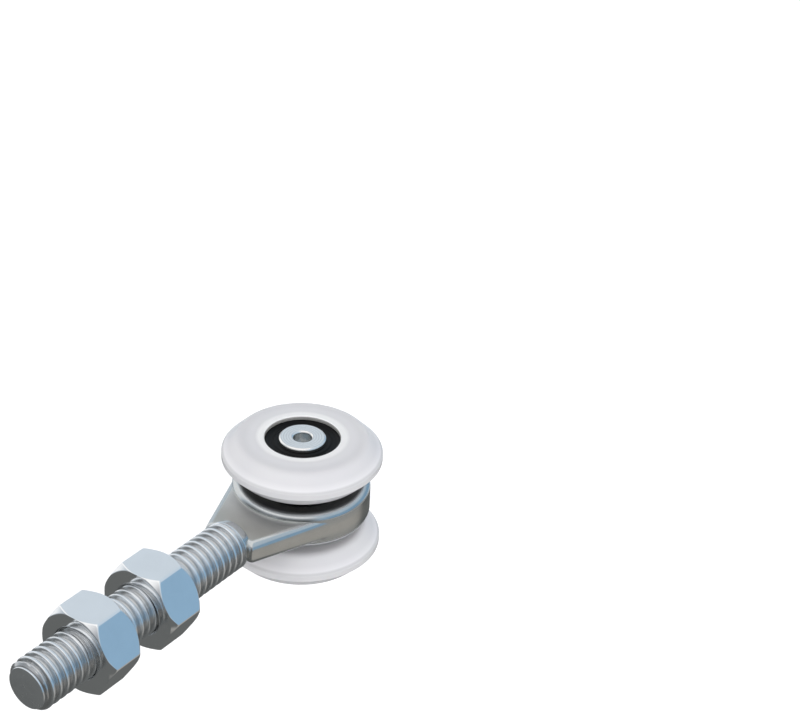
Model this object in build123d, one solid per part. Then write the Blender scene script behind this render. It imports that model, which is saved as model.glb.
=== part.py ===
from build123d import *

import os
from math import cos, radians, sin, sqrt

# Sliding gate trolley, in millimetres.
# The origin is the centre of the eye, on the axle.
# +Z runs up the axle, the shank points along -Y, and the wheels roll along X.

# Shank: a 12 mm threaded bolt end, drawn plain at its full diameter
SHANK_DIAMETER = 12.0
SHANK_TIP = 92.5  # from the axle to the shank's free end
SHANK_TIP_CHAMFER = 1.25
SHANK_ROOT = 25.3  # where the round shank stops on top of the flat web
SHANK_NECK = 2.4  # length over which the shank necks down to its root
SHANK_NECK_DIAMETER = 10.9
SHANK_ROOT_RADIUS = 0.6

# Eye: a round boss on a flat web that tapers to the shank
EYE_DIAMETER = 33.0
BOSS_THICKNESS = 9.0
BOSS_EDGE_RADIUS = 1.7
WEB_THICKNESS = 6.0
WEB_EDGE_RADIUS = 2.0
WEB_END = 27.4  # from the axle to the web's end face
WEB_TAPER = 21.6  # degrees, each side
WEB_CORNER_RADIUS = 0.8

# Axle: a solid pin with a riveted head at each end
AXLE_DIAMETER = 8.0
AXLE_PLAY = 0.02  # radial, in everything that is threaded onto the axle
RIVET_DIAMETER = 11.3
RIVET_HEIGHT = 1.05
RIVET_EDGE_RADIUS = 0.6
RIVET_HOLE_DIAMETER = 4.3
RIVET_HOLE_DEPTH = 2.6
RIVET_HOLE_LIP = 0.55

# Spacer between the boss and each bearing's inner ring
SPACER_DIAMETER = 11.2
SPACER_HEIGHT = 3.5

# Sealed ball bearing, 8 x 22 x 7
BEARING_DIAMETER = 22.0
BEARING_WIDTH = 7.0
BALL_DIAMETER = 3.969
BALL_COUNT = 7
BALL_CIRCLE_DIAMETER = 15.0
RACE_CONFORMITY = 0.525  # groove radius over ball diameter
RACE_PLAY = 0.02  # radial, between a ball and each race
INNER_SHOULDER_DIAMETER = 12.1
INNER_STEP_DIAMETER = 11.2
OUTER_SHOULDER_DIAMETER = 17.9
OUTER_STEP_DIAMETER = 19.0
STEP_WIDTH = 1.0
SEAL_THICKNESS = 0.8
SEAL_SET_BACK = 0.1  # below the bearing's face
SEAL_LIP_PLAY = 0.12  # radial, to the turning inner ring
SEAL_GROOVE_DEPTH = 0.2
CAGE_WALL = 1.5  # radial
CAGE_WEB = 0.35  # below the ball pockets
CAGE_HORN = 0.8  # above the balls' centres
CAGE_PLAY = 0.08  # between a ball and its pocket

# Wheel: a double cone with a narrow rim, moulded round its bearing
WHEEL_DIAMETER = 38.2
WHEEL_WIDTH = 9.2
RIM_WIDTH = 1.4
RIM_EDGE_RADIUS = 0.25
FACE_DIAMETER = 30.9  # where the nearly flat face turns into the cone
FACE_DROP = 0.2  # how far that face falls from the mouth outwards
FACE_EDGE_RADIUS = 2.5
MOUTH_DIAMETER = 17.9
MOUTH_EDGE_RADIUS = 0.5

# Hexagon nuts, one each side of the gate's bracket
NUT_ACROSS_FLATS = 19.0
NUT_HEIGHT = 10.0
NUT_CHAMFER = 1.6  # along the axis, at the corners
NUT_FACE_DIAMETER = 19.0
NUT_PLAY = 0.05  # radial, to the shank
NUT_BORE_CHAMFER = 0.4
FRONT_NUT_FACE = 78.0  # from the axle to the face on the tip's side
REAR_NUT_FACE = 58.5

# What follows from the sizes above
shank_radius = SHANK_DIAMETER / 2
eye_radius = EYE_DIAMETER / 2
axle_bore = AXLE_DIAMETER / 2 + AXLE_PLAY
boss_top = BOSS_THICKNESS / 2
bearing_bottom = boss_top + SPACER_HEIGHT
wheel_middle = bearing_bottom + BEARING_WIDTH / 2
bearing_top = bearing_bottom + BEARING_WIDTH
ball_radius = BALL_DIAMETER / 2
ball_circle = BALL_CIRCLE_DIAMETER / 2
inner_step = INNER_STEP_DIAMETER / 2
outer_step = OUTER_STEP_DIAMETER / 2


def ring(points):
    """One solid turned about the Z axis from an outline of (radius, height) points."""
    outline = make_face(Polyline(*[(r, 0, z) for r, z in points], close=True))
    return revolve(outline, Axis.Z)


def tube(inner, outer, bottom, top):
    """A plain ring between two radii and two heights."""
    return ring([(inner, bottom), (outer, bottom), (outer, top), (inner, top)])


def circles_at(body, radius, heights):
    """The full circles of one radius round the Z axis, at the given heights."""
    found = []
    for edge in body.edges().filter_by(GeomType.CIRCLE):
        low = edge.bounding_box().min
        high = edge.bounding_box().max
        level = any(abs(low.Z - h) < 1e-4 and abs(high.Z - h) < 1e-4 for h in heights)
        if level and abs(edge.radius - radius) < 1e-4:
            found.append(edge)
    return found


def shank():
    """The round bolt end along -Y, chamfered at its tip and necked where it meets the web."""
    points = [
        (0, -SHANK_TIP),
        (shank_radius - SHANK_TIP_CHAMFER, -SHANK_TIP),
        (shank_radius, -SHANK_TIP + SHANK_TIP_CHAMFER),
        (shank_radius, -SHANK_ROOT - SHANK_NECK),
        (SHANK_NECK_DIAMETER / 2, -SHANK_ROOT),
        (0, -SHANK_ROOT),
    ]
    body = revolve(make_face(Polyline(*points, close=True)), Axis.Y)
    root = body.edges().filter_by(GeomType.CIRCLE).sort_by(Axis.Y)[-1]
    return fillet(root, SHANK_ROOT_RADIUS)


def web():
    """The flat web: its sides leave the round eye at a tangent and close in on the shank."""
    side = radians(WEB_TAPER)
    tangent_x = eye_radius * cos(side)
    tangent_y = -eye_radius * sin(side)
    end_x = tangent_x - (WEB_END + tangent_y) * sin(side) / cos(side)
    outline = [
        Line((-end_x, -WEB_END), (end_x, -WEB_END)),
        Line((end_x, -WEB_END), (tangent_x, tangent_y)),
        ThreePointArc((tangent_x, tangent_y), (0, eye_radius), (-tangent_x, tangent_y)),
        Line((-tangent_x, tangent_y), (-end_x, -WEB_END)),
    ]
    plate = Pos(0, 0, -WEB_THICKNESS / 2) * extrude(make_face(outline), WEB_THICKNESS)
    corners = plate.edges().filter_by(Axis.Z).sort_by(Axis.Y)[:2]
    plate = fillet(corners, WEB_CORNER_RADIUS)
    rims = plate.faces().sort_by(Axis.Z)
    return fillet(rims[0].edges() + rims[-1].edges(), WEB_EDGE_RADIUS)


def boss():
    """The round boss of the eye, rounded off towards the web's faces."""
    body = Cylinder(eye_radius, BOSS_THICKNESS)
    return fillet(circles_at(body, eye_radius, (boss_top, -boss_top)), BOSS_EDGE_RADIUS)


def eye_bolt():
    """Eye, web and shank are one forging, bored for the axle."""
    return web() + boss() + shank() - Cylinder(axle_bore, BOSS_THICKNESS)


def axle_pin():
    """The axle, with the two heads that were spread over the bearings' inner rings."""
    top = bearing_top + RIVET_HEIGHT
    pin = Cylinder(AXLE_DIAMETER / 2, 2 * bearing_top)
    for end in (1, -1):
        head = Pos(0, 0, end * (bearing_top + RIVET_HEIGHT / 2)) * Cylinder(RIVET_DIAMETER / 2, RIVET_HEIGHT)
        hole_place = Pos(0, 0, end * (top - RIVET_HOLE_DEPTH / 2))
        pin = pin + head - hole_place * Cylinder(RIVET_HOLE_DIAMETER / 2, RIVET_HOLE_DEPTH)
    pin = fillet(circles_at(pin, RIVET_DIAMETER / 2, (top, -top)), RIVET_EDGE_RADIUS)
    return fillet(circles_at(pin, RIVET_HOLE_DIAMETER / 2, (top, -top)), RIVET_HOLE_LIP)


def race(middle, shoulder, side):
    """The groove's arc: ball races face out on the inner ring (side 1), in on the outer (side -1)."""
    groove = RACE_CONFORMITY * BALL_DIAMETER
    bottom = ball_circle - side * (ball_radius + RACE_PLAY)
    centre = bottom + side * groove
    reach = sqrt(groove**2 - (shoulder - centre) ** 2)
    return ThreePointArc((shoulder, 0, middle - reach), (bottom, 0, middle), (shoulder, 0, middle + reach))


def bearing_ring(bore, shoulder, step, side):
    """One bearing ring about its own middle: a cylinder wall, two seal steps and a ball race."""
    half = BEARING_WIDTH / 2
    groove = race(0, shoulder, side)
    lower = Polyline(
        (bore, 0, -half),
        (step, 0, -half),
        (step, 0, -half + STEP_WIDTH),
        (shoulder, 0, -half + STEP_WIDTH),
        groove @ 0,
    )
    upper = Polyline(
        groove @ 1,
        (shoulder, 0, half - STEP_WIDTH),
        (step, 0, half - STEP_WIDTH),
        (step, 0, half),
        (bore, 0, half),
        (bore, 0, -half),
    )
    return revolve(make_face([*lower.edges(), groove, *upper.edges()]), Axis.Z)


def inner_ring():
    """The ring that stays on the axle."""
    return bearing_ring(axle_bore, INNER_SHOULDER_DIAMETER / 2, inner_step, 1)


def outer_ring():
    """The ring that turns with the wheel."""
    return bearing_ring(BEARING_DIAMETER / 2, OUTER_SHOULDER_DIAMETER / 2, outer_step, -1)


def seal():
    """A rubber seal about the bearing's middle, on its upper side, with a shallow ring groove."""
    top = BEARING_WIDTH / 2 - SEAL_SET_BACK
    bottom = top - SEAL_THICKNESS
    lip = inner_step + SEAL_LIP_PLAY
    width = outer_step - lip
    points = [
        (lip, bottom),
        (outer_step, bottom),
        (outer_step, top),
        (lip + 0.75 * width, top),
        (lip + 0.65 * width, top - SEAL_GROOVE_DEPTH),
        (lip + 0.35 * width, top - SEAL_GROOVE_DEPTH),
        (lip + 0.25 * width, top),
        (lip, top),
    ]
    return ring(points)


def ball_places():
    """The balls' centres, evenly round the bearing."""
    return PolarLocations(ball_circle, BALL_COUNT)


def balls():
    """All balls of one bearing, as separate solids."""
    return [place * Sphere(ball_radius) for place in ball_places()]


def cage():
    """A snap-in cage: a thin ring below the balls, with a horn between each two of them."""
    pocket = ball_radius + CAGE_PLAY
    low = -pocket - CAGE_WEB
    body = tube(ball_circle - CAGE_WALL / 2, ball_circle + CAGE_WALL / 2, low, CAGE_HORN)
    return body - [place * Sphere(pocket) for place in ball_places()]


def wheel():
    """The nylon wheel about its own middle, with a lip over each side of the bearing."""
    half = WHEEL_WIDTH / 2
    rim = RIM_WIDTH / 2
    seat = BEARING_WIDTH / 2
    outer = WHEEL_DIAMETER / 2
    face = FACE_DIAMETER / 2
    mouth = MOUTH_DIAMETER / 2
    points = [
        (mouth, half),
        (face, half - FACE_DROP),
        (outer, rim),
        (outer, -rim),
        (face, -half + FACE_DROP),
        (mouth, -half),
        (mouth, -seat),
        (BEARING_DIAMETER / 2, -seat),
        (BEARING_DIAMETER / 2, seat),
        (mouth, seat),
    ]
    body = ring(points)
    body = fillet(circles_at(body, outer, (rim, -rim)), RIM_EDGE_RADIUS)
    body = fillet(circles_at(body, face, (half - FACE_DROP, FACE_DROP - half)), FACE_EDGE_RADIUS)
    return fillet(circles_at(body, mouth, (half, -half)), MOUTH_EDGE_RADIUS)


def nut(face):
    """A hexagon nut on the shank, corners to the sides; face is where its tip side lies."""
    corner = NUT_ACROSS_FLATS / sqrt(3)
    hexagon = extrude(RegularPolygon(corner, 6), NUT_HEIGHT)
    small = NUT_FACE_DIAMETER / 2
    bore = shank_radius + NUT_PLAY
    mouth = bore + NUT_BORE_CHAMFER
    profile = [
        (bore, NUT_BORE_CHAMFER),
        (mouth, 0),
        (small, 0),
        (corner, NUT_CHAMFER),
        (corner, NUT_HEIGHT - NUT_CHAMFER),
        (small, NUT_HEIGHT),
        (mouth, NUT_HEIGHT),
        (bore, NUT_HEIGHT - NUT_BORE_CHAMFER),
    ]
    body = hexagon & ring(profile)
    return Pos(0, -face, 0) * Rot(X=-90) * body


def on_side(body, side):
    """Puts a piece made about a wheel's middle on the upper (1) or lower (-1) wheel."""
    placed = Pos(0, 0, wheel_middle) * body
    return placed if side > 0 else mirror(placed, Plane.XY)


def write(name, solids):
    """Writes one named piece, or one group of like pieces."""
    shapes = [solid for shape in solids for solid in shape.solids()]
    export_step(shapes[0] if len(shapes) == 1 else Compound(children=shapes), f"parts/{name}.step")


os.makedirs("parts", exist_ok=True)
write("eye_bolt", [eye_bolt()])
write("axle_pin", [axle_pin()])
write("front_nut", [nut(FRONT_NUT_FACE)])
write("rear_nut", [nut(REAR_NUT_FACE)])

for name, side in (("upper", 1), ("lower", -1)):
    spacer = tube(axle_bore, SPACER_DIAMETER / 2, boss_top, bearing_bottom)
    write(f"{name}_wheel", [on_side(wheel(), side)])
    write(f"{name}_bearing_outer_ring", [on_side(outer_ring(), side)])
    write(f"{name}_bearing_inner_ring", [on_side(inner_ring(), side)])
    write(f"{name}_bearing_balls", [on_side(ball, side) for ball in balls()])
    write(f"{name}_bearing_cage", [on_side(cage(), side)])
    write(f"{name}_outer_seal", [on_side(seal(), side)])
    write(f"{name}_inner_seal", [on_side(mirror(seal(), Plane.XY), side)])
    write(f"{name}_spacer", [spacer if side > 0 else mirror(spacer, Plane.XY)])
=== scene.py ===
from math import cos, hypot, pi, radians, sin, sqrt

import bmesh
import bpy
from mathutils import Matrix, Vector

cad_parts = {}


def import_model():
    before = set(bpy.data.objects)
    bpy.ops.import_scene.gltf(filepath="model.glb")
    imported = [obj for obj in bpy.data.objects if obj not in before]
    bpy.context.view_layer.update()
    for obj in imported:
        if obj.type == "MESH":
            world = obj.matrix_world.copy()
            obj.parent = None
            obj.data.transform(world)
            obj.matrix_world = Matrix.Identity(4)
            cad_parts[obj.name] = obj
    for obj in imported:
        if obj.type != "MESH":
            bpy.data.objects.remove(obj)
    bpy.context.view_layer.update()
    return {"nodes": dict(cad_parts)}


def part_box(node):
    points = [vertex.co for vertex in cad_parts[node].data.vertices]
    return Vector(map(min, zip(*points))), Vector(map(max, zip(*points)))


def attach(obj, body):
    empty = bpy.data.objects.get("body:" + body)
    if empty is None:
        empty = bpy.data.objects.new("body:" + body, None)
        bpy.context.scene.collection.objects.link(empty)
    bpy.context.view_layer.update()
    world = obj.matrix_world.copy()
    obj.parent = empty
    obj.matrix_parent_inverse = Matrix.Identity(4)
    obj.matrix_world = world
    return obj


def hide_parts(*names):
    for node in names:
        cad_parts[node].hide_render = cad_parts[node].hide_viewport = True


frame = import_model()

MM = 0.001
NODES = frame["nodes"]
SIDES = ("upper", "lower")

# Camera: a long lens above and to the right of the shank's free end
PICTURE_WIDTH = 800
PICTURE_HEIGHT = 717
SENSOR = 36.0
FOCAL_PIXELS = 2037.1
CAMERA_AZIMUTH = 33.985
CAMERA_ELEVATION = 30.519
CAMERA_ROLL = 3.014
ORIGIN_DEPTH = 487.42 * MM
ORIGIN_PIXEL = (301.17, 492.79)
NEAREST_VIEW = 10.0 * MM

# Threaded shank
SHANK_RADIUS = 6.0 * MM
SHANK_SHARP_ANGLE = 50  # degrees
THREAD_PITCH = 2.1 * MM
THREAD_DEPTH = 0.95 * MM
THREAD_ROOT_SHARE = 0.18  # of half a pitch
THREAD_FLANK_SHARE = 0.60
THREAD_ROUND_STEPS = 96
THREAD_STEPS_PER_TURN = 22
THREAD_START = 28.0 * MM  # from the axle
THREAD_RUN_IN = 0.5 * MM
TIP_CHAMFER = 1.25 * MM
TIP_EDGE = 0.16 * MM
TIP_EDGE_STEPS = 4
TIP_RIM = 0.45 * MM
TIP_RIM_STEP = 0.18 * MM

# Forged head
HEAD_CUT = 27.9 * MM  # where the round shank is taken over from the forged head
HEAD_OVERLAP = 0.2 * MM
HEAD_SHARP_ANGLE = 32
WELD_DISTANCE = 0.001 * MM

# Nuts
NUT_ACROSS_FLATS = 19.0 * MM
NUT_FLAT_RADIUS = NUT_ACROSS_FLATS / 2
NUT_CORNER_RADIUS = NUT_FLAT_RADIUS / cos(pi / 6)
NUT_CORNER_CUT = 0.105 * MM
NUT_BLEND = 0.1 * MM
NUT_BORE = SHANK_RADIUS + 0.02 * MM
NUT_COUNTERSINK = 0.4 * MM
NUT_CHAMFER = 1.6 * MM
NUT_LEAST_CHAMFER = 0.02 * MM
NUT_LEAST_STEP = 0.0001 * MM
NUT_EDGE = 0.25 * MM
NUT_EDGE_STEPS = 3
NUT_EDGE_SUPPORT = 0.06 * MM
NUT_ROUND_STEPS = 360
NUT_SHARP_ANGLE = 40
SIDE_SHARE = 0.45  # of a side, that the rounding of its corner may take
SUPPORT_SHARE = 0.2  # of a rounding's reach

# Marks and painted shade on the zinc and the nylon. Each pair is where a mask is 0 and where it is 1: a
# reach is measured from the axle, and a level up or down from the middle of the eye.
# Painted shade in the hollow of the dimple punched into each axle head
DIMPLE_PAINTED_SHADE = (0.66, 0.68, 0.69)
DIMPLE_REACH = (2.30 * MM, 2.10 * MM)
DIMPLE_LEVEL = (13.0 * MM, 13.4 * MM)
RING_TONE = (0.88, 0.88, 0.90)
RING_LEVEL = (15.7 * MM, 15.95 * MM)
RING_PITCH = 0.62 * MM
# Painted shade on the boss's faces, in the narrow gaps under and over the wheels
BOSS_PAINTED_SHADE = (0.32, 0.31, 0.30)
BOSS_REACH = (15.6 * MM, 14.4 * MM)
BOSS_LEVEL = (3.6 * MM, 4.4 * MM)
EDGE_TONE = (0.84, 0.87, 0.90)
EDGE_LEVEL = (0.5 * MM, 2.6 * MM)
# Painted shade on the web's flat faces, darker away from the axle; the roughness is their own matt finish
WEB_PAINTED_SHADE = (0.73, 0.72, 0.69)
WEB_ROUGHNESS = (0.42, 0.42, 0.42)
WEB_REACH = (16.5 * MM, 24.0 * MM)
WEB_LEVEL_FROM_BELOW = (2.90 * MM, 2.97 * MM)
WEB_LEVEL_FROM_ABOVE = (3.10 * MM, 3.03 * MM)
# Painted shade in the thread's roots
ROOT_PAINTED_SHADE = (0.72, 0.71, 0.70)
ROOT_RADIUS = (5.92 * MM, 5.45 * MM)
BEHIND_TIP = (92.3 * MM, 91.9 * MM)
# Painted shade on the wall of the wheels' mouths
MOUTH_PAINTED_SHADE = (0.34, 0.34, 0.33)
MOUTH_REACH = (9.10 * MM, 8.98 * MM)

# The wheels' nylon, in rings round the axle: share of NYLON_REACH, and tone. The tones paint light and
# shade: painted highlights on the lip and near the rim's edge, and painted shade that darkens the face
# outwards and the rim.
NYLON_REACH = 20.0 * MM
NYLON_LIGHT_AND_SHADE_RINGS = [
    (0.450, (0.98, 0.98, 0.98)),  # painted highlight on the lip of the mouth
    (0.515, (0.98, 0.98, 0.98)),
    (0.560, (0.770, 0.768, 0.781)),  # face
    (0.620, (0.752, 0.750, 0.765)),
    (0.685, (0.705, 0.705, 0.716)),
    (0.745, (0.700, 0.697, 0.707)),  # cone
    (0.870, (0.695, 0.691, 0.702)),
    (0.922, (0.765, 0.760, 0.770)),  # painted highlight near the rim's edge
    (0.940, (0.595, 0.595, 0.600)),  # rim, in painted shade
    (0.960, (0.600, 0.598, 0.604)),
]

# Studio
FLOOR_LEVEL = -0.14
FLOOR_SIZE = 3.0
FLOOR_COLOUR = (0.80, 0.80, 0.80, 1)
FLOOR_ROUGHNESS = 0.9
FLOOR_LIFT = 0.36  # added for the camera, so that the lit floor is white and its shadow shows
HORIZON_LIGHT = (1.45, 1.46, 1.48)
ZENITH_LIGHT = (0.66, 0.665, 0.68)
ZENITH_RISE = (0.0, 0.8)  # sine of the height above the horizon, from all horizon light to all zenith light
KEY_STRENGTH = 1.00
KEY_ANGLE = 60  # degrees, across the light
KEY_FROM = (0.60, -0.72, 0.36)

# Reflector: a round table with a wall. Each pair is where one tone starts to give way to the next, and
# where it is gone.
CARD_SIDES = 96
CARD_HOLE = 0.02
CARD_REACH = 0.6
CARD_TOP = 1.3
CARD_FOOT = -0.135
CARD_CORNER = (CARD_FOOT + 0.001, CARD_FOOT + 0.02)
DARK = (0.125, 0.13, 0.128)
GREY = (0.37, 0.36, 0.34)
HAZE = (0.36, 0.38, 0.41)
BACK = (0.62, 0.69, 0.755)
SKY_BLUE = (0.262, 0.418, 0.575)
PALE_BLUE = (0.56, 0.66, 0.75)
WHITE = (1.0, 1.0, 1.0)
BLUE_DIRECTION = (cos(radians(40)), sin(radians(40)), 0)
BLUE_BEGINS = (0.05, 0.45)  # in that direction
BLUE_PALES = (0.14, 0.36)  # height
LEFT_DIMS = (-0.60, -0.53)  # across
FRONT_BEGINS = (-0.18, -0.42)  # along
FRONT_HAZE = (0.0, 0.32)  # height
FRONT_WHITE = (0.28, 0.58)  # height
GREY_ACROSS = (0.06, 0.14)
GREY_ALONG = (-0.165, -0.135)
FAR_LEFT_DIRECTION = (-0.56, 0.83, 0)
FAR_LEFT_BEGINS = (0.20, 0.27)  # in that direction


# Meshes and objects

def new_object(name, data):
    """A new object in the scene."""
    made = bpy.data.objects.new(name, data)
    bpy.context.scene.collection.objects.link(made)
    return made


def add_piece(name, mesh, body, replaces):
    """Adds a piece, sets it riding on a body, and hides the CAD part that it stands for."""
    piece = new_object(name, mesh)
    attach(piece, body)
    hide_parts(replaces)


def mesh_from(bm, name):
    """A mesh with what a bmesh holds, which is freed."""
    mesh = bpy.data.meshes.new(name)
    bm.to_mesh(mesh)
    bm.free()
    return mesh


def shade_smooth(mesh, angle):
    """Smooth faces with sharp edges where two faces meet at more than an angle in degrees."""
    bm = bmesh.new()
    bm.from_mesh(mesh)
    for face in bm.faces:
        face.smooth = True
    for edge in bm.edges:
        sharp = len(edge.link_faces) == 2 and edge.calc_face_angle() > radians(angle)
        edge.smooth = not sharp
    bm.to_mesh(mesh)
    bm.free()


def join_rows(bm, rows):
    """Faces between neighbouring rows of points, each of which closes on itself."""
    count = len(rows[0])
    for low, high in zip(rows, rows[1:]):
        for i in range(count):
            j = (i + 1) % count
            bm.faces.new((low[i], low[j], high[j], high[i]))


def around_shank(radius, y, turn):
    """A point at a radius from the shank's axis, at a share of a turn round it."""
    return radius * cos(2 * pi * turn), y, radius * sin(2 * pi * turn)


# Shader nodes

def shader_of(material):
    """A material's shader."""
    return material.node_tree.nodes["Principled BSDF"]


def new_material(name):
    """A node material, its tree and its shader."""
    material = bpy.data.materials.new(name)
    material.use_nodes = True
    return material, material.node_tree, shader_of(material)


def node(tree, kind, **values):
    """A new node; values set its properties, or its inputs where the key is an input's name."""
    made = tree.nodes.new(kind)
    for key, value in values.items():
        if hasattr(made, key):
            setattr(made, key, value)
        else:
            made.inputs[key.replace("_", " ")].default_value = value
    return made


def feed(tree, socket, value):
    """Links an input to another node's output, or sets it where the value is a constant."""
    if isinstance(value, bpy.types.NodeSocket):
        tree.links.new(value, socket)
    else:
        socket.default_value = value


def maths(tree, operation, *values):
    """The result of an operation on values, each a constant or a node's output."""
    made = node(tree, "ShaderNodeMath", operation=operation)
    for socket, value in zip(made.inputs, values):
        feed(tree, socket, value)
    return made.outputs["Value"]


def product(tree, first, second):
    """Two values multiplied."""
    return maths(tree, "MULTIPLY", first, second)


def spread(tree, source, start, end):
    """0 to 1 as a value goes from start to end, eased."""
    made = node(tree, "ShaderNodeMapRange", interpolation_type="SMOOTHSTEP", From_Min=start, From_Max=end)
    tree.links.new(source, made.inputs["Value"])
    return made.outputs["Result"]


def mix_colour(tree, factor, first, second, blend="MIX"):
    """Two colours blended by a factor, each a constant or a node's output."""
    made = node(tree, "ShaderNodeMix", data_type="RGBA", blend_type=blend)
    feed(tree, made.inputs[0], factor)
    for socket, colour in ((made.inputs[6], first), (made.inputs[7], second)):
        feed(tree, socket, (*colour, 1) if isinstance(colour, tuple) else colour)
    return made.outputs[2]


def ramp(tree, source, stops):
    """A colour ramp over a value; stops are (place, colour or grey)."""
    made = node(tree, "ShaderNodeValToRGB")
    elements = made.color_ramp.elements
    while len(elements) < len(stops):
        elements.new(0.5)
    for element, (place, colour) in zip(elements, stops):
        element.position = place
        grey = isinstance(colour, (int, float))
        element.color = (colour, colour, colour, 1) if grey else (*colour, 1)
    tree.links.new(source, made.inputs["Fac"])
    return made.outputs["Color"]


def noise(tree, scale, detail=4.0, roughness=0.55):
    """Noise in object space, in features per metre."""
    where = node(tree, "ShaderNodeTexCoord")
    made = node(tree, "ShaderNodeTexNoise", Scale=scale, Detail=detail, Roughness=roughness)
    tree.links.new(where.outputs["Object"], made.inputs["Vector"])
    return made.outputs["Fac"]


def vary(tree, socket, source, low, high, levels=(0.3, 0.7)):
    """Drives a shader's input with noise: low below one level of it, high above another."""
    tree.links.new(ramp(tree, source, list(zip(levels, (low, high)))), socket)


def bump(tree, shader, source, strength, distance):
    """Bump from a value, stacked on whatever bump the shader already has."""
    made = node(tree, "ShaderNodeBump", Strength=strength, Distance=distance)
    tree.links.new(source, made.inputs["Height"])
    socket = shader.inputs["Normal"]
    if socket.links:
        tree.links.new(socket.links[0].from_socket, made.inputs["Normal"])
    tree.links.new(made.outputs["Normal"], socket)


def tint(material, mask, colour):
    """Multiplies the shader's base colour by a colour where a mask is 1."""
    tree = material.node_tree
    base = shader_of(material).inputs["Base Color"]
    tree.links.new(mix_colour(tree, mask, base.links[0].from_socket, colour, "MULTIPLY"), base)


def coordinates(tree, space="Object"):
    """A point's x, y and z, as three values."""
    where = node(tree, "ShaderNodeTexCoord")
    split = node(tree, "ShaderNodeSeparateXYZ")
    tree.links.new(where.outputs[space], split.inputs["Vector"])
    return [split.outputs[axis] for axis in "XYZ"]


def vector_maths(tree, operation, source, other):
    """A Vector Math node over a vector and a constant."""
    made = node(tree, "ShaderNodeVectorMath", operation=operation)
    tree.links.new(source, made.inputs[0])
    made.inputs[1].default_value = other
    return made


def distance_along(tree, direction):
    """A point's distance from the origin in a direction, in object space."""
    where = node(tree, "ShaderNodeTexCoord")
    return vector_maths(tree, "DOT_PRODUCT", where.outputs["Object"], direction).outputs["Value"]


def reach_from(tree, keep):
    """Distance from an axis in object space; keep is 1 for each direction across that axis."""
    where = node(tree, "ShaderNodeTexCoord")
    flat = vector_maths(tree, "MULTIPLY", where.outputs["Object"], keep)
    reach = node(tree, "ShaderNodeVectorMath", operation="LENGTH")
    tree.links.new(flat.outputs[0], reach.inputs[0])
    return reach.outputs["Value"]


def about_axle(tree):
    """How far a point is from the axle, and how far above or below the middle of the eye."""
    height = maths(tree, "ABSOLUTE", coordinates(tree)[2])
    return reach_from(tree, (1, 1, 0)), height


# Materials

def zinc(name, dull, bright, roughness):
    """Zinc plate: faintly cloudy between two tones, with fine grain in its gloss."""
    material, tree, shader = new_material(name)
    shader.inputs["Metallic"].default_value = 1.0
    cloud = noise(tree, scale=160.0, detail=5.0, roughness=0.6)
    vary(tree, shader.inputs["Base Color"], cloud, dull, bright, levels=(0.35, 0.65))
    grain = noise(tree, scale=900.0, detail=6.0, roughness=0.65)
    vary(tree, shader.inputs["Roughness"], grain, *roughness)
    bump(tree, shader, grain, strength=0.05, distance=0.02 * MM)
    return material


def mark_axle_heads(material):
    """Paints shade into the dimple punched into each axle head, and marks the head's turned face with fine
    rings.
    """
    tree = material.node_tree
    reach, height = about_axle(tree)
    dimple = product(tree, spread(tree, reach, *DIMPLE_REACH), spread(tree, height, *DIMPLE_LEVEL))
    # painted shade in the dimple's hollow
    tint(material, dimple, DIMPLE_PAINTED_SHADE)
    wave = maths(tree, "SINE", product(tree, reach, 2 * pi / RING_PITCH))
    turned = spread(tree, height, *RING_LEVEL)
    tint(material, product(tree, spread(tree, wave, 0.0, 1.0), turned), RING_TONE)
    bump(tree, shader_of(material), product(tree, wave, turned), strength=0.8, distance=0.03 * MM)


def mark_forging(material):
    """Paints shade on the boss's faces under and over the wheels, tints the forging faint blue-grey away
    from its middle plane apart from the web's flat faces, and leaves those faces matt, with painted shade
    that darkens them towards the shank.
    """
    tree = material.node_tree
    reach, height = about_axle(tree)
    boss = product(tree, spread(tree, reach, *BOSS_REACH), spread(tree, height, *BOSS_LEVEL))
    # painted shade on the boss's faces
    tint(material, boss, BOSS_PAINTED_SHADE)
    from_below = spread(tree, height, *WEB_LEVEL_FROM_BELOW)
    web = product(tree, from_below, spread(tree, height, *WEB_LEVEL_FROM_ABOVE))
    edges = product(tree, spread(tree, height, *EDGE_LEVEL), maths(tree, "SUBTRACT", 1.0, web))
    tint(material, edges, EDGE_TONE)
    # painted shade on the web's flat faces, darker towards the shank
    tint(material, product(tree, web, spread(tree, reach, *WEB_REACH)), WEB_PAINTED_SHADE)
    rough = shader_of(material).inputs["Roughness"]
    tree.links.new(mix_colour(tree, web, rough.links[0].from_socket, WEB_ROUGHNESS), rough)


def mark_thread(material):
    """Paints shade into the thread's roots behind the tip, so that its crests stand out bright."""
    tree = material.node_tree
    deep = spread(tree, reach_from(tree, (1, 0, 1)), *ROOT_RADIUS)
    behind_tip = spread(tree, reach_from(tree, (0, 1, 0)), *BEHIND_TIP)
    # painted shade in the roots
    tint(material, product(tree, deep, behind_tip), ROOT_PAINTED_SHADE)


def mark_mouth(material):
    """Paints shade on the wall of the wheel's mouth, the recess round the bearing."""
    tree = material.node_tree
    # painted shade in the mouth's recess
    tint(material, spread(tree, reach_from(tree, (1, 1, 0)), *MOUTH_REACH), MOUTH_PAINTED_SHADE)


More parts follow.
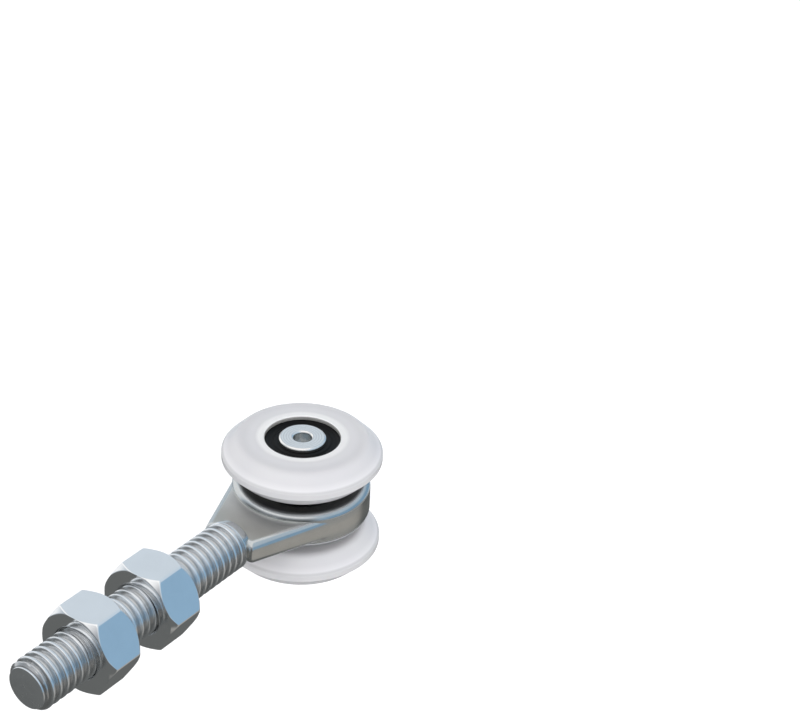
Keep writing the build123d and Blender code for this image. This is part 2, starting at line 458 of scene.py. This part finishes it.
def nylon():
    """White nylon: soft, slightly see-through, with a moulded satin skin, and its tone painted with light
    and shade in rings round the axle.
    """
    material, tree, shader = new_material("white_nylon")
    share = maths(tree, "DIVIDE", reach_from(tree, (1, 1, 0)), NYLON_REACH)
    # painted highlights and shade in rings round the axle
    rings = ramp(tree, share, NYLON_LIGHT_AND_SHADE_RINGS)
    cloud = noise(tree, scale=90.0, detail=3.0)
    clouded = ramp(tree, cloud, [(0.3, (0.975, 0.972, 0.985)), (0.7, (1.0, 0.998, 1.0))])
    tone = mix_colour(tree, 1.0, rings, clouded, "MULTIPLY")
    tree.links.new(tone, shader.inputs["Base Color"])
    skin = noise(tree, scale=700.0)
    vary(tree, shader.inputs["Roughness"], skin, 0.20, 0.27)
    shader.inputs["IOR"].default_value = 1.53
    shader.inputs["Subsurface Weight"].default_value = 0.5
    shader.inputs["Subsurface Radius"].default_value = (1.0, 0.95, 1.0)
    shader.inputs["Subsurface Scale"].default_value = 3.0 * MM
    bump(tree, shader, skin, strength=0.02, distance=0.02 * MM)
    return material


def rubber():
    """Black seal rubber with a faint sheen."""
    material, tree, shader = new_material("seal_rubber")
    skin = noise(tree, scale=1200.0, detail=5.0)
    vary(tree, shader.inputs["Base Color"], skin, (0.001, 0.0012, 0.0014), (0.003, 0.0034, 0.0036))
    vary(tree, shader.inputs["Roughness"], skin, 0.34, 0.46)
    shader.inputs["Specular IOR Level"].default_value = 0.15
    bump(tree, shader, skin, strength=0.15, distance=0.05 * MM)
    return material


def ground_steel():
    """Bright ground bearing steel with a fine grain."""
    material, tree, shader = new_material("bearing_steel")
    shader.inputs["Metallic"].default_value = 1.0
    marks = noise(tree, scale=2200.0)
    vary(tree, shader.inputs["Base Color"], marks, (0.60, 0.61, 0.63), (0.72, 0.73, 0.75))
    vary(tree, shader.inputs["Roughness"], marks, 0.12, 0.22)
    bump(tree, shader, marks, strength=0.05, distance=0.02 * MM)
    return material


def polyamide():
    """Natural cage polyamide, cream and slightly grainy."""
    material, tree, shader = new_material("cage_polyamide")
    grain = noise(tree, scale=700.0)
    vary(tree, shader.inputs["Base Color"], grain, (0.55, 0.48, 0.34), (0.66, 0.59, 0.44))
    vary(tree, shader.inputs["Roughness"], grain, 0.42, 0.56)
    shader.inputs["Subsurface Weight"].default_value = 0.1
    shader.inputs["Subsurface Scale"].default_value = 1.0 * MM
    bump(tree, shader, grain, strength=0.1, distance=0.04 * MM)
    return material


FORGED = zinc("forged_zinc", (0.70, 0.70, 0.68), (0.76, 0.76, 0.74), roughness=(0.16, 0.22))
ROLLED = zinc("rolled_zinc", (0.84, 0.86, 0.88), (0.90, 0.92, 0.94), roughness=(0.20, 0.28))
NUT_ZINC = zinc("nut_zinc", (0.91, 0.92, 0.93), (0.94, 0.95, 0.96), roughness=(0.07, 0.11))
AXLE_ZINC = zinc("axle_zinc", (0.88, 0.88, 0.87), (0.92, 0.92, 0.91), roughness=(0.14, 0.20))
mark_axle_heads(AXLE_ZINC)
mark_forging(FORGED)
mark_thread(ROLLED)
NYLON = nylon()
mark_mouth(NYLON)
RUBBER = rubber()
STEEL = ground_steel()
POLYAMIDE = polyamide()


# Eye bolt

def thread_radius(y, turn, tip):
    """The rolled thread's radius at a distance y from the axle, at a share of a turn round it."""
    phase = (y / THREAD_PITCH + turn) % 1.0
    ridge = abs(2 * phase - 1)  # 1 at the crest, 0 at the root
    flank = min(max((ridge - THREAD_ROOT_SHARE) / THREAD_FLANK_SHARE, 0.0), 1.0)
    eased = flank * flank * (3 - 2 * flank)
    shape = (flank + eased) / 2
    fade = min(max((y - THREAD_START) / THREAD_RUN_IN, 0.0), 1.0)
    cut = SHANK_RADIUS - THREAD_DEPTH * (1 - shape) * fade
    left = tip - y
    rounding = TIP_EDGE - sqrt(max(TIP_EDGE**2 - max(TIP_EDGE - left, 0.0) ** 2, 0.0))
    rim = SHANK_RADIUS - TIP_CHAMFER + TIP_RIM_STEP - rounding
    chamfer = SHANK_RADIUS - TIP_CHAMFER + left - TIP_RIM_STEP
    return min(cut, rim if left < TIP_RIM else chamfer)


def threaded_shank(tip):
    """The round shank from inside the forged head to its chamfered tip, with its thread."""
    step = THREAD_PITCH / THREAD_STEPS_PER_TURN
    start = HEAD_CUT - HEAD_OVERLAP
    end = tip - TIP_EDGE
    count = int((tip - start) / step) + 1
    places = [start + (end - start) * i / count for i in range(count + 1)]
    places += [tip - TIP_EDGE * cos(pi / 2 * i / TIP_EDGE_STEPS) for i in range(1, TIP_EDGE_STEPS + 1)]
    turns = [i / THREAD_ROUND_STEPS for i in range(THREAD_ROUND_STEPS)]
    bm = bmesh.new()
    rows = []
    for y in places:
        rows.append([bm.verts.new(around_shank(thread_radius(y, turn, tip), -y, turn)) for turn in turns])
    join_rows(bm, rows)
    for row in (rows[0], rows[-1]):
        centre = bm.verts.new(sum((point.co for point in row), Vector()) / len(row))
        for i, point in enumerate(row):
            bm.faces.new((row[i - 1], point, centre))
    bmesh.ops.recalc_face_normals(bm, faces=bm.faces)
    mesh = mesh_from(bm, "shank_thread")
    shade_smooth(mesh, SHANK_SHARP_ANGLE)
    return mesh


def forged_head():
    """The forged head, copied from its solid and closed where the shank takes over."""
    mesh = NODES["eye_bolt"].data.copy()
    bm = bmesh.new()
    bm.from_mesh(mesh)
    bmesh.ops.remove_doubles(bm, verts=bm.verts, dist=WELD_DISTANCE)
    everything = bm.verts[:] + bm.edges[:] + bm.faces[:]
    cut = bmesh.ops.bisect_plane(
        bm, geom=everything, plane_co=(0, -HEAD_CUT, 0), plane_no=(0, -1, 0), clear_outer=True
    )
    edges = [e for e in cut["geom_cut"] if isinstance(e, bmesh.types.BMEdge)]
    bmesh.ops.contextual_create(bm, geom=edges)
    bm.to_mesh(mesh)
    bm.free()
    shade_smooth(mesh, HEAD_SHARP_ANGLE)
    return mesh


def eye_bolt():
    """Head and threaded shank as one piece with two finishes."""
    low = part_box("eye_bolt")[0]
    head = forged_head()
    shank = threaded_shank(-low.y)
    head.materials.clear()
    head.materials.append(FORGED)
    head.materials.append(ROLLED)
    bm = bmesh.new()
    bm.from_mesh(head)
    head_faces = len(bm.faces)
    bm.from_mesh(shank)
    for i, face in enumerate(bm.faces):
        face.material_index = 0 if i < head_faces else 1
    bm.to_mesh(head)
    bm.free()
    head.name = "eye_bolt_threaded"
    add_piece("eye_bolt_threaded", head, "eye_bolt_and_axle", "eye_bolt")


# Nuts

def eased(outline):
    """An outline with a small arc at each inner point, and a supporting point close by on each side."""
    out = [outline[0]]
    for before, corner, after in zip(outline, outline[1:], outline[2:]):
        middle = Vector(corner)
        back = Vector(before) - middle
        ahead = Vector(after) - middle
        reach = min(NUT_EDGE, SIDE_SHARE * back.length, SIDE_SHARE * ahead.length)
        start = middle + back.normalized() * reach
        end = middle + ahead.normalized() * reach
        support = min(NUT_EDGE_SUPPORT, SUPPORT_SHARE * reach)
        out.append(start + back.normalized() * support)
        for i in range(NUT_EDGE_STEPS + 1):
            t = i / NUT_EDGE_STEPS
            out.append(start * (1 - t) ** 2 + middle * 2 * t * (1 - t) + end * t**2)
        out.append(end + ahead.normalized() * support)
    out.append(outline[-1])
    return out


def hexagon_radius(turn):
    """Distance to the hexagon's side at a share of a turn, with its corners a little rounded."""
    angle = (turn * 6 + 0.5) % 1.0 - 0.5  # 0 at a corner, in sixths of a turn
    side = NUT_FLAT_RADIUS / cos((0.5 - abs(angle)) * pi / 3)
    cut = NUT_CORNER_RADIUS - NUT_CORNER_CUT
    return min(side, 0.5 * (side + cut) - 0.5 * hypot(side - cut, NUT_BLEND))


def nut_outline(turn, height):
    """The nut's section at a share of a turn: (radius, place along the axis), from the bore and back."""
    wall = hexagon_radius(turn)
    slope = NUT_CHAMFER / (NUT_CORNER_RADIUS - NUT_FLAT_RADIUS)
    drop = max((wall - NUT_FLAT_RADIUS) * slope, NUT_LEAST_CHAMFER)
    wall = max(wall, NUT_FLAT_RADIUS + NUT_LEAST_STEP)
    mouth = NUT_BORE + NUT_COUNTERSINK
    return [
        (NUT_BORE, height / 2),
        (NUT_BORE, NUT_COUNTERSINK),
        (mouth, 0.0),
        (NUT_FLAT_RADIUS, 0.0),
        (wall, drop),
        (wall, height - drop),
        (NUT_FLAT_RADIUS, height),
        (mouth, height),
        (NUT_BORE, height - NUT_COUNTERSINK),
        (NUT_BORE, height / 2),
    ]


def nut(name):
    """A hexagon nut with eased edges, conical chamfers on both faces and a countersunk bore."""
    low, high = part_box(name)
    bm = bmesh.new()
    rows = []
    for i in range(NUT_ROUND_STEPS):
        turn = i / NUT_ROUND_STEPS
        section = eased(nut_outline(turn, high.y - low.y))[:-1]
        rows.append([bm.verts.new(around_shank(radius, low.y + place, turn)) for radius, place in section])
    join_rows(bm, rows + rows[:1])
    bmesh.ops.recalc_face_normals(bm, faces=bm.faces)
    mesh = mesh_from(bm, f"{name}_eased")
    shade_smooth(mesh, NUT_SHARP_ANGLE)
    mesh.materials.append(NUT_ZINC)
    add_piece(f"{name}_eased", mesh, name, name)


eye_bolt()
nut("front_nut")
nut("rear_nut")


# Finishes of the pieces that keep their solids

def finish(name, material):
    """Gives a CAD node its procedural material."""
    for slot in NODES[name].material_slots:
        slot.material = material


finish("axle_pin", AXLE_ZINC)
for side in SIDES:
    finish(f"{side}_wheel", NYLON)
    finish(f"{side}_spacer", AXLE_ZINC)
    finish(f"{side}_outer_seal", RUBBER)
    finish(f"{side}_inner_seal", RUBBER)
    finish(f"{side}_bearing_inner_ring", STEEL)
    finish(f"{side}_bearing_outer_ring", STEEL)
    finish(f"{side}_bearing_balls", STEEL)
    finish(f"{side}_bearing_cage", POLYAMIDE)


# Camera and studio

def camera():
    """Stands where the fitted view puts it: by angles, and by where the origin falls in the picture."""
    azimuth, elevation, roll = (radians(v) for v in (CAMERA_AZIMUTH, CAMERA_ELEVATION, CAMERA_ROLL))
    back = Vector((sin(azimuth) * cos(elevation), -cos(azimuth) * cos(elevation), sin(elevation)))
    right = Vector((cos(azimuth), sin(azimuth), 0))
    up = back.cross(right)
    turned_right = right * cos(roll) + up * sin(roll)
    turned_up = up * cos(roll) - right * sin(roll)
    across = (ORIGIN_PIXEL[0] - PICTURE_WIDTH / 2) / FOCAL_PIXELS * ORIGIN_DEPTH
    down = (ORIGIN_PIXEL[1] - PICTURE_HEIGHT / 2) / FOCAL_PIXELS * ORIGIN_DEPTH
    place = back * ORIGIN_DEPTH + turned_up * down - turned_right * across
    data = bpy.data.cameras.new("camera")
    data.sensor_width = SENSOR
    data.lens = FOCAL_PIXELS * SENSOR / PICTURE_WIDTH
    data.clip_start = NEAREST_VIEW
    made = new_object("camera", data)
    axes = Matrix((turned_right, turned_up, back)).transposed()
    made.matrix_world = Matrix.Translation(place) @ axes.to_4x4()
    bpy.context.scene.camera = made


def sees_backdrop(tree):
    """A value of 1 for rays from the camera, or off gloss or through glass, which see plain white."""
    path = node(tree, "ShaderNodeLightPath")
    seen = maths(tree, "MAXIMUM", path.outputs["Is Camera Ray"], path.outputs["Is Glossy Ray"])
    return maths(tree, "MAXIMUM", seen, path.outputs["Is Transmission Ray"])


def world():
    """Plain soft light all round, stronger from the sides than from above, on a white background."""
    made = bpy.data.worlds.new("studio")
    bpy.context.scene.world = made
    made.use_nodes = True
    tree = made.node_tree
    tree.nodes.clear()
    rising = spread(tree, coordinates(tree, "Generated")[2], *ZENITH_RISE)
    light = node(tree, "ShaderNodeBackground", Strength=1.0)
    tree.links.new(mix_colour(tree, rising, HORIZON_LIGHT, ZENITH_LIGHT), light.inputs["Color"])
    white = node(tree, "ShaderNodeBackground", Color=(1, 1, 1, 1), Strength=1.0)
    mix = node(tree, "ShaderNodeMixShader")
    out = node(tree, "ShaderNodeOutputWorld")
    tree.links.new(sees_backdrop(tree), mix.inputs[0])
    tree.links.new(light.outputs[0], mix.inputs[1])
    tree.links.new(white.outputs[0], mix.inputs[2])
    tree.links.new(mix.outputs[0], out.inputs["Surface"])


def floor():
    """A pale floor well below the part, which is held up by its shank."""
    bm = bmesh.new()
    bmesh.ops.create_grid(bm, x_segments=1, y_segments=1, size=FLOOR_SIZE / 2)
    bmesh.ops.translate(bm, verts=bm.verts, vec=(0, 0, FLOOR_LEVEL))
    mesh = mesh_from(bm, "floor")
    material, tree, shader = new_material("floor_white")
    shader.inputs["Base Color"].default_value = FLOOR_COLOUR
    shader.inputs["Roughness"].default_value = FLOOR_ROUGHNESS
    lift = node(tree, "ShaderNodeEmission", Color=(1, 1, 1, 1))
    tree.links.new(product(tree, sees_backdrop(tree), FLOOR_LIFT), lift.inputs["Strength"])
    both = node(tree, "ShaderNodeAddShader")
    tree.links.new(shader.outputs[0], both.inputs[0])
    tree.links.new(lift.outputs[0], both.inputs[1])
    tree.links.new(both.outputs[0], tree.nodes["Material Output"].inputs["Surface"])
    mesh.materials.append(material)
    piece = new_object("floor", mesh)


def reflector_colour(tree):
    """The reflector's tones: white on the left, blue behind on the right, dark in front and below."""
    across, along, height = coordinates(tree)
    blue = mix_colour(tree, spread(tree, height, *BLUE_PALES), SKY_BLUE, PALE_BLUE)
    left = mix_colour(tree, spread(tree, across, *LEFT_DIMS), WHITE, BACK)
    blue_side = spread(tree, distance_along(tree, BLUE_DIRECTION), *BLUE_BEGINS)
    around = mix_colour(tree, blue_side, left, blue)
    front_low = mix_colour(tree, spread(tree, height, *FRONT_HAZE), DARK, HAZE)
    front = mix_colour(tree, spread(tree, height, *FRONT_WHITE), front_low, WHITE)
    wall = mix_colour(tree, spread(tree, along, *FRONT_BEGINS), around, front)
    grey_side = product(tree, spread(tree, across, *GREY_ACROSS), spread(tree, along, *GREY_ALONG))
    dark_or_grey = mix_colour(tree, grey_side, DARK, GREY)
    far_left = spread(tree, distance_along(tree, FAR_LEFT_DIRECTION), *FAR_LEFT_BEGINS)
    table = mix_colour(tree, far_left, dark_or_grey, BACK)
    return mix_colour(tree, spread(tree, height, *CARD_CORNER), table, wall)


def reflector():
    """A round table with a wall, which only gloss sees."""
    bm = bmesh.new()
    turns = [2 * pi * i / CARD_SIDES for i in range(CARD_SIDES)]
    rows = []
    for reach, level in ((CARD_HOLE, CARD_FOOT), (CARD_REACH, CARD_FOOT), (CARD_REACH, CARD_TOP)):
        rows.append([bm.verts.new((reach * cos(turn), reach * sin(turn), level)) for turn in turns])
    join_rows(bm, rows)
    bm.faces.new(rows[0])
    mesh = mesh_from(bm, "reflector")
    material = bpy.data.materials.new("reflector")
    material.use_nodes = True
    tree = material.node_tree
    tree.nodes.clear()
    glow = node(tree, "ShaderNodeEmission", Strength=1.0)
    tree.links.new(reflector_colour(tree), glow.inputs["Color"])
    out = node(tree, "ShaderNodeOutputMaterial")
    tree.links.new(glow.outputs[0], out.inputs["Surface"])
    mesh.materials.append(material)
    piece = new_object("reflector", mesh)
    piece.visible_camera = False
    piece.visible_diffuse = False
    piece.visible_shadow = False
    piece.visible_transmission = False


def key_light():
    """A broad soft light from the front, on the camera's right."""
    data = bpy.data.lights.new("key", "SUN")
    data.angle = radians(KEY_ANGLE)
    data.energy = KEY_STRENGTH
    made = new_object("key", data)
    made.matrix_world = Vector(KEY_FROM).to_track_quat("Z", "Y").to_matrix().to_4x4()
    made.visible_glossy = False


camera()
world()
floor()
reflector()
key_light()
bpy.context.scene.view_settings.view_transform = "Standard"
